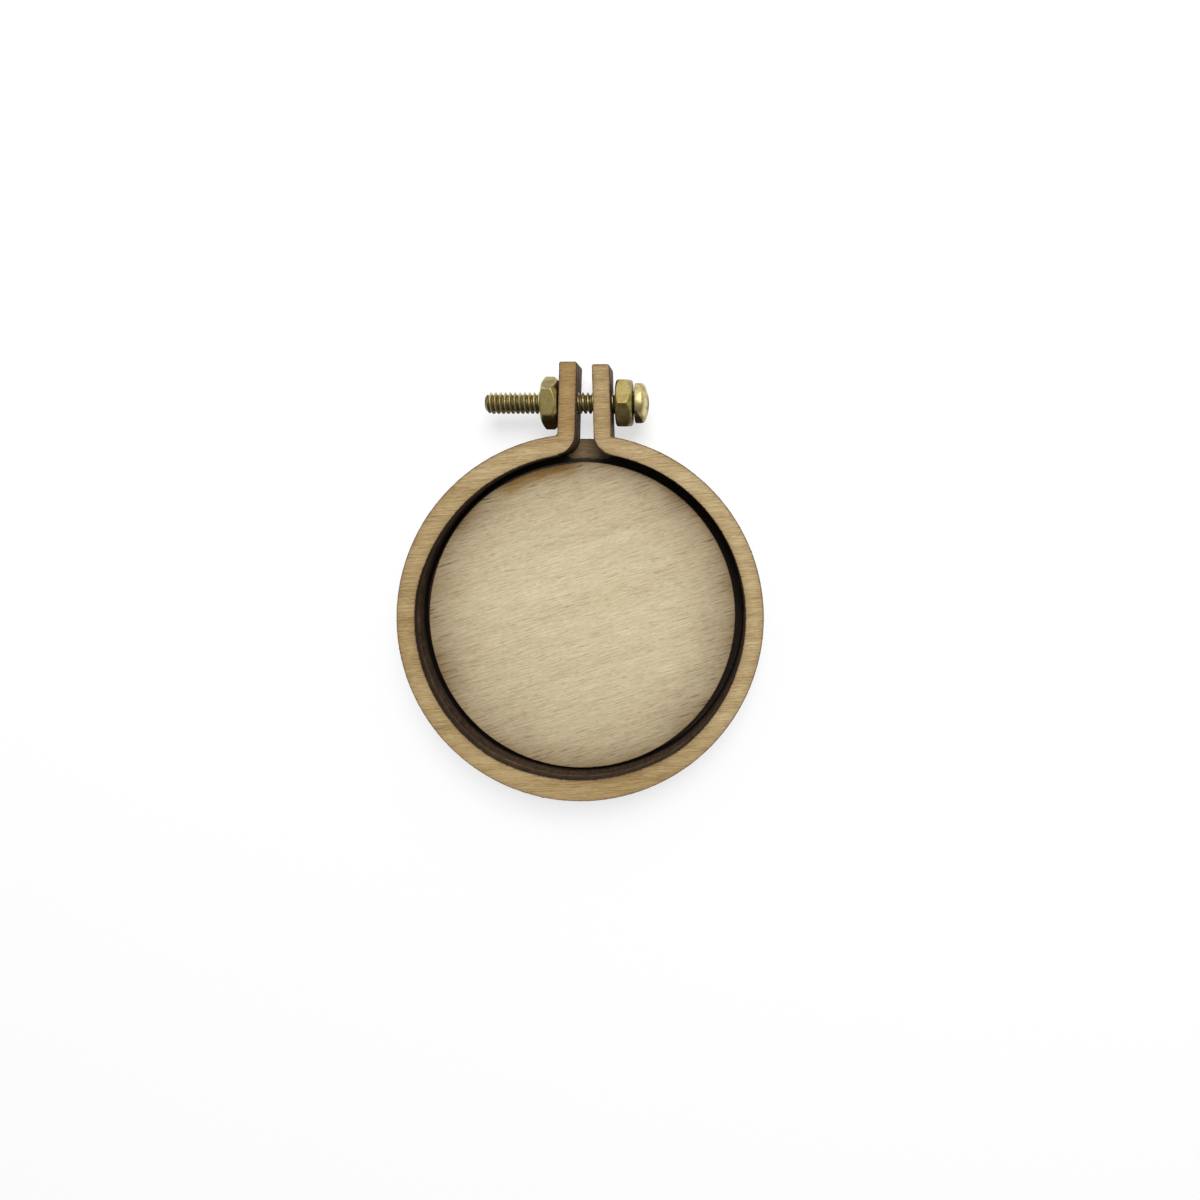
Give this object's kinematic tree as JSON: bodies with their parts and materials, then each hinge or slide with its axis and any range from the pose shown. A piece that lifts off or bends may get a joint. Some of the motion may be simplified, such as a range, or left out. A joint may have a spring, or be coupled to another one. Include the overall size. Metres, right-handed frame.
{
  "type": "embroidery hoop",
  "caption": "Mini display hoop for embroidery: a split plywood ring with screw-clamped lugs around a cloth disc, on a round plywood back plate.",
  "frame": {"origin": "centre of the back plate's rear face, which the hoop lies on", "axes": "+Z out of the front, which shows the embroidery; +Y from the centre to the lugs at the split; +X along the clamp screw to its head"},
  "size_m": [0.047, 0.0563, 0.008],
  "materials": {
    "back_plate_plywood": "laser-cut birch plywood, bare, with charred edges",
    "disc_plywood": "laser-cut birch plywood, bare, with charred edges",
    "hoop_plywood": "laser-cut birch plywood, bare, with charred edges",
    "screw_brass": "dull turned brass",
    "nut_brass": "dull pressed brass"
  },
  "bodies": {
    "plate": {"back_plate": "back_plate_plywood"},
    "disc": {"centre_disc": "disc_plywood"},
    "hoop": {"outer_hoop": "hoop_plywood"},
    "screw": {"clamp_screw": "screw_brass"},
    "clamp_nut": {"clamp_nut": "nut_brass"},
    "lock_nut": {"lock_nut": "nut_brass"}
  },
  "joints": [
    {"name": "disc_lift", "type": "slide", "parent": "plate", "child": "disc", "axis": [0, 0, 1], "range_m": [0, 0.01]},
    {"name": "hoop_lift", "type": "slide", "parent": "plate", "child": "hoop", "axis": [0, 0, 1], "range_m": [0, 0.01]},
    {"name": "screw_turn", "type": "hinge", "parent": "hoop", "child": "screw", "pos_m": [0, 0.0277, 0.0045], "axis": [1, 0, 0], "range_deg": [0, 3960]},
    {"name": "clamp_nut_travel", "type": "slide", "parent": "hoop", "child": "clamp_nut", "axis": [-1, 0, 0], "range_m": [0, 0.00698]},
    {"name": "lock_nut_turn", "type": "hinge", "parent": "screw", "child": "lock_nut", "pos_m": [0, 0.0277, 0.0045], "axis": [1, 0, 0], "range_deg": [-150, 150]}
  ],
  "couplings": [
    {"joint": "screw_turn", "follows": "clamp_nut_travel", "rad_per_m": 9894.8}
  ]
}
